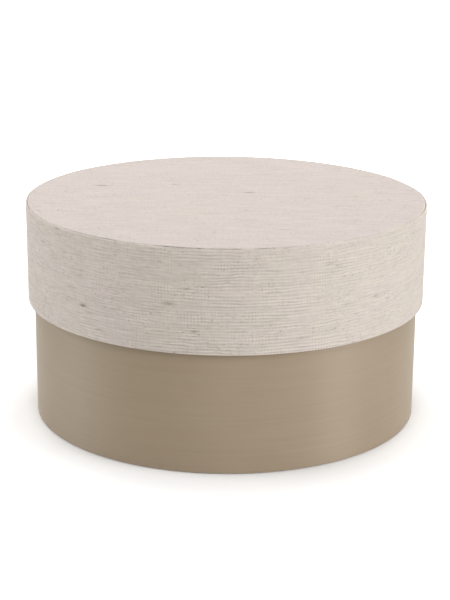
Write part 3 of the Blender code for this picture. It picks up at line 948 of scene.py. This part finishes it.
def base_cloth():
    """The taupe cloth round the base: turned in over the rim and under the foot, lapped behind."""
    low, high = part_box("base_wall_cover")
    radius, top, foot = high.x, high.z, low.z
    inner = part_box("base_floor_lining")[1].x + SHEET_GAP * 2 + PAPER_THICKNESS - BASE_CLOTH_THICKNESS
    inner_centre = (inner + BASE_FOLD_RADIUS, top - BASE_FOLD_RADIUS)
    outer_centre = (radius - BASE_FOLD_RADIUS, top - BASE_FOLD_RADIUS)
    foot_centre = (radius - BASE_FOLD_RADIUS, foot + BASE_FOLD_RADIUS)
    turn_in = subdivided([(inner, top - BASE_TURN_IN), (inner, inner_centre[1])], BASE_ROW)
    rim = arc(inner_centre, BASE_FOLD_RADIUS, 180, 90, FOLD_STEPS)
    rim += arc(outer_centre, BASE_FOLD_RADIUS, 90, 0, FOLD_STEPS)
    wall = subdivided([rim[-1], (radius, foot_centre[1])], BASE_ROW)
    under = arc(foot_centre, BASE_FOLD_RADIUS, 0, -90, FOLD_STEPS)
    turned = subdivided([under[-1], (radius - BASE_TURN_UNDER, foot)], BASE_FOOT_ROW)
    path = turn_in + rim[1:] + wall[1:] + under[1:] + turned[1:]

    angles = lapped_columns(SEAM_COLUMNS, radius, LINEN_LAP)
    around, along = np.meshgrid(angles * radius, lengths_along(path))
    uneven = layered_noise(BASE_SEED, around, along, BASE_LAYERS, math.tau * radius)
    rows = np.arange(len(path))[:, None]
    first_wall = len(turn_in) + len(rim) - 2
    last_wall = first_wall + len(wall) - 1
    on_wall = (rows >= first_wall) & (rows <= last_wall)
    relief = np.where(on_wall, uneven, 0.0)
    relief = relief + wall_lap(path, on_wall, foot, top, angles, radius, BASE_CLOTH_THICKNESS)
    piece = turned_sheet("base_cloth", path, PLAIN_BACK_ROW, BASE_CLOTH_THICKNESS, angles,
                         BASE_CLOTH, relief)
    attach(piece, "base")
    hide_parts("base_wall_cover")


def paper_band(name, node_name, body, insets, step, seed):
    """A paper band inside a ring wall, its good side towards the axis, lapped at the back. Its insets,
    below and above its step, let it pass over the turned-in cloth."""
    low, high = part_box(node_name)
    below, above = [high.x - PAPER_THICKNESS - inset for inset in insets]
    path = [(below, low.z), (below, step), (above, step + LINING_STEP_LENGTH), (above, high.z)]
    rows = subdivided(path, PAPER_ROW)
    radius = max(below, above)
    angles = lapped_columns(PAPER_COLUMNS, radius, PAPER_LAP)
    around, along = np.meshgrid(angles * radius, lengths_along(rows))
    relief = PAPER_UNEVEN * (1 + smooth_noise(seed, around, along, *PAPER_CELL, math.tau * radius))
    relief = relief + lap_rise(angles, radius, PAPER_LAP, PAPER_THICKNESS * PAPER_LAP_SHARE)
    piece = turned_sheet(name, rows, PLAIN_BACK_ROW, PAPER_THICKNESS, angles, LINING, relief)
    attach(piece, body)
    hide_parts(node_name)


def linings():
    """The papers inside the base and the lid, and the one under the foot."""
    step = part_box("base_wall_cover")[1].z - BASE_TURN_IN - SHEET_GAP - LINING_STEP_LENGTH
    insets = (0.0, BASE_CLOTH_THICKNESS + SHEET_GAP)
    paper_band("base_wall_paper", "base_wall_lining", "base", insets, step, WALL_PAPER_SEED)
    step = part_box("lid_rim_cover")[0].z + LID_TURN_IN + SHEET_GAP
    insets = (LINEN_THICKNESS + SHEET_GAP, 0.0)
    paper_band("lid_rim_paper", "lid_rim_lining", "lid", insets, step, RIM_PAPER_SEED)
    paper_disc("base_floor_paper", "base_floor_lining", "base", LINING, COCKLE_HEIGHT)
    paper_disc("lid_top_paper", "lid_top_lining", "lid", LINING)
    paper_disc("base_foot_sheet", "base_foot_paper", "base", FOOT)


def boards():
    """The greyboards stay as packed, with the material of solid greyboard."""
    for name in ("base_floor_board", "base_wall_board", "lid_top_board", "lid_rim_board"):
        for material_slot in frame["nodes"][name].material_slots:
            material_slot.material = GREYBOARD


def seen_directly(tree):
    """1 for what the camera sees, itself or in gloss or glass, and 0 for light on its way."""
    path = node(tree, "LightPath").outputs
    either = maths(tree, "MAXIMUM", path["Is Camera Ray"], path["Is Glossy Ray"])
    return maths(tree, "MAXIMUM", either, path["Is Transmission Ray"])


def floor():
    """A plain pale floor, white to the eye except near the box, where the box's shadow falls and where shade
    is painted round it.
    """
    bpy.ops.mesh.primitive_plane_add(size=FLOOR_SIZE)
    ground = bpy.context.object
    ground.name = "floor"
    material = bpy.data.materials.new("white_floor")
    material.use_nodes = True
    tree = material.node_tree
    tree.nodes.remove(tree.nodes["Principled BSDF"])
    output = tree.nodes["Material Output"]
    place = node(tree, "TexCoord").outputs["Object"]
    distance = node(tree, "VectorMath", {0: place}, operation="LENGTH").outputs["Value"]
    # Painted shade: less of the floor's own white near the box, and less still next to the foot
    fade = ranged(tree, distance, FLOOR_FADE_START, FLOOR_FADE_END, 0.0, 1.0 - FLOOR_OWN_WHITE)
    painted_contact_shadow = ranged(tree, distance, FLOOR_FADE_START, FLOOR_CONTACT_END, FLOOR_PAINTED_CONTACT_SHADOW, 0.0)
    painted_floor_white = maths(tree, "ADD", fade, painted_contact_shadow)
    camera_sees = node(tree, "LightPath").outputs["Is Camera Ray"]
    own = maths(tree, "MULTIPLY_ADD", painted_floor_white, camera_sees, FLOOR_OWN_WHITE)
    strength = maths(tree, "MULTIPLY", own, seen_directly(tree))
    diffuse = node(tree, "BsdfDiffuse", {"Color": (*FLOOR_WHITE, 1.0)})
    white = node(tree, "Emission", {"Color": PURE_WHITE, "Strength": strength})
    both = node(tree, "AddShader", {0: diffuse.outputs[0], 1: white.outputs[0]})
    tree.links.new(both.outputs[0], output.inputs["Surface"])
    ground.data.materials.append(material)


def world():
    """White to the eye, and a softer even light on the box."""
    sky = bpy.data.worlds.new("studio")
    bpy.context.scene.world = sky
    sky.use_nodes = True
    tree = sky.node_tree
    tree.nodes.clear()
    output = node(tree, "OutputWorld")
    light = node(tree, "Background", {"Color": PURE_WHITE, "Strength": WORLD_LIGHT})
    white = node(tree, "Background", {"Color": PURE_WHITE, "Strength": 1.0})
    mix = node(tree, "MixShader", {0: seen_directly(tree), 1: light.outputs[0], 2: white.outputs[0]})
    tree.links.new(mix.outputs[0], output.inputs["Surface"])


def lamp(name, azimuth, elevation, distance, diameter, power):
    """A round soft lamp that faces the box."""
    turn, rise = math.radians(azimuth), math.radians(elevation)
    aim = Vector(LIGHT_AIM)
    away = Vector((math.sin(turn) * math.cos(rise), -math.cos(turn) * math.cos(rise), math.sin(rise)))
    data = bpy.data.lights.new(name, "AREA")
    data.shape = "DISK"
    data.size = diameter
    data.energy = power
    made = bpy.data.objects.new(name, data)
    made.location = aim + away * distance
    made.rotation_euler = away.to_track_quat("Z", "Y").to_euler()
    bpy.context.scene.collection.objects.link(made)


def camera():
    """The photograph's viewpoint."""
    data = bpy.data.cameras.new("camera")
    data.lens = CAMERA_LENS
    data.sensor_width = CAMERA_SENSOR
    data.sensor_fit = "AUTO"
    made = bpy.data.objects.new("camera", data)
    tilt = Matrix.Rotation(math.pi / 2 - CAMERA_PITCH, 4, "X")
    roll = Matrix.Rotation(CAMERA_ROLL, 4, "Z")
    made.matrix_world = Matrix.Translation(CAMERA_PLACE) @ tilt @ roll
    bpy.context.scene.collection.objects.link(made)
    bpy.context.scene.camera = made


lid_band_linen()
lid_top_linen()
base_cloth()
linings()
boards()
floor()
world()
for settings in LAMPS:
    lamp(*settings)
camera()
bpy.context.scene.view_settings.view_transform = "Standard"
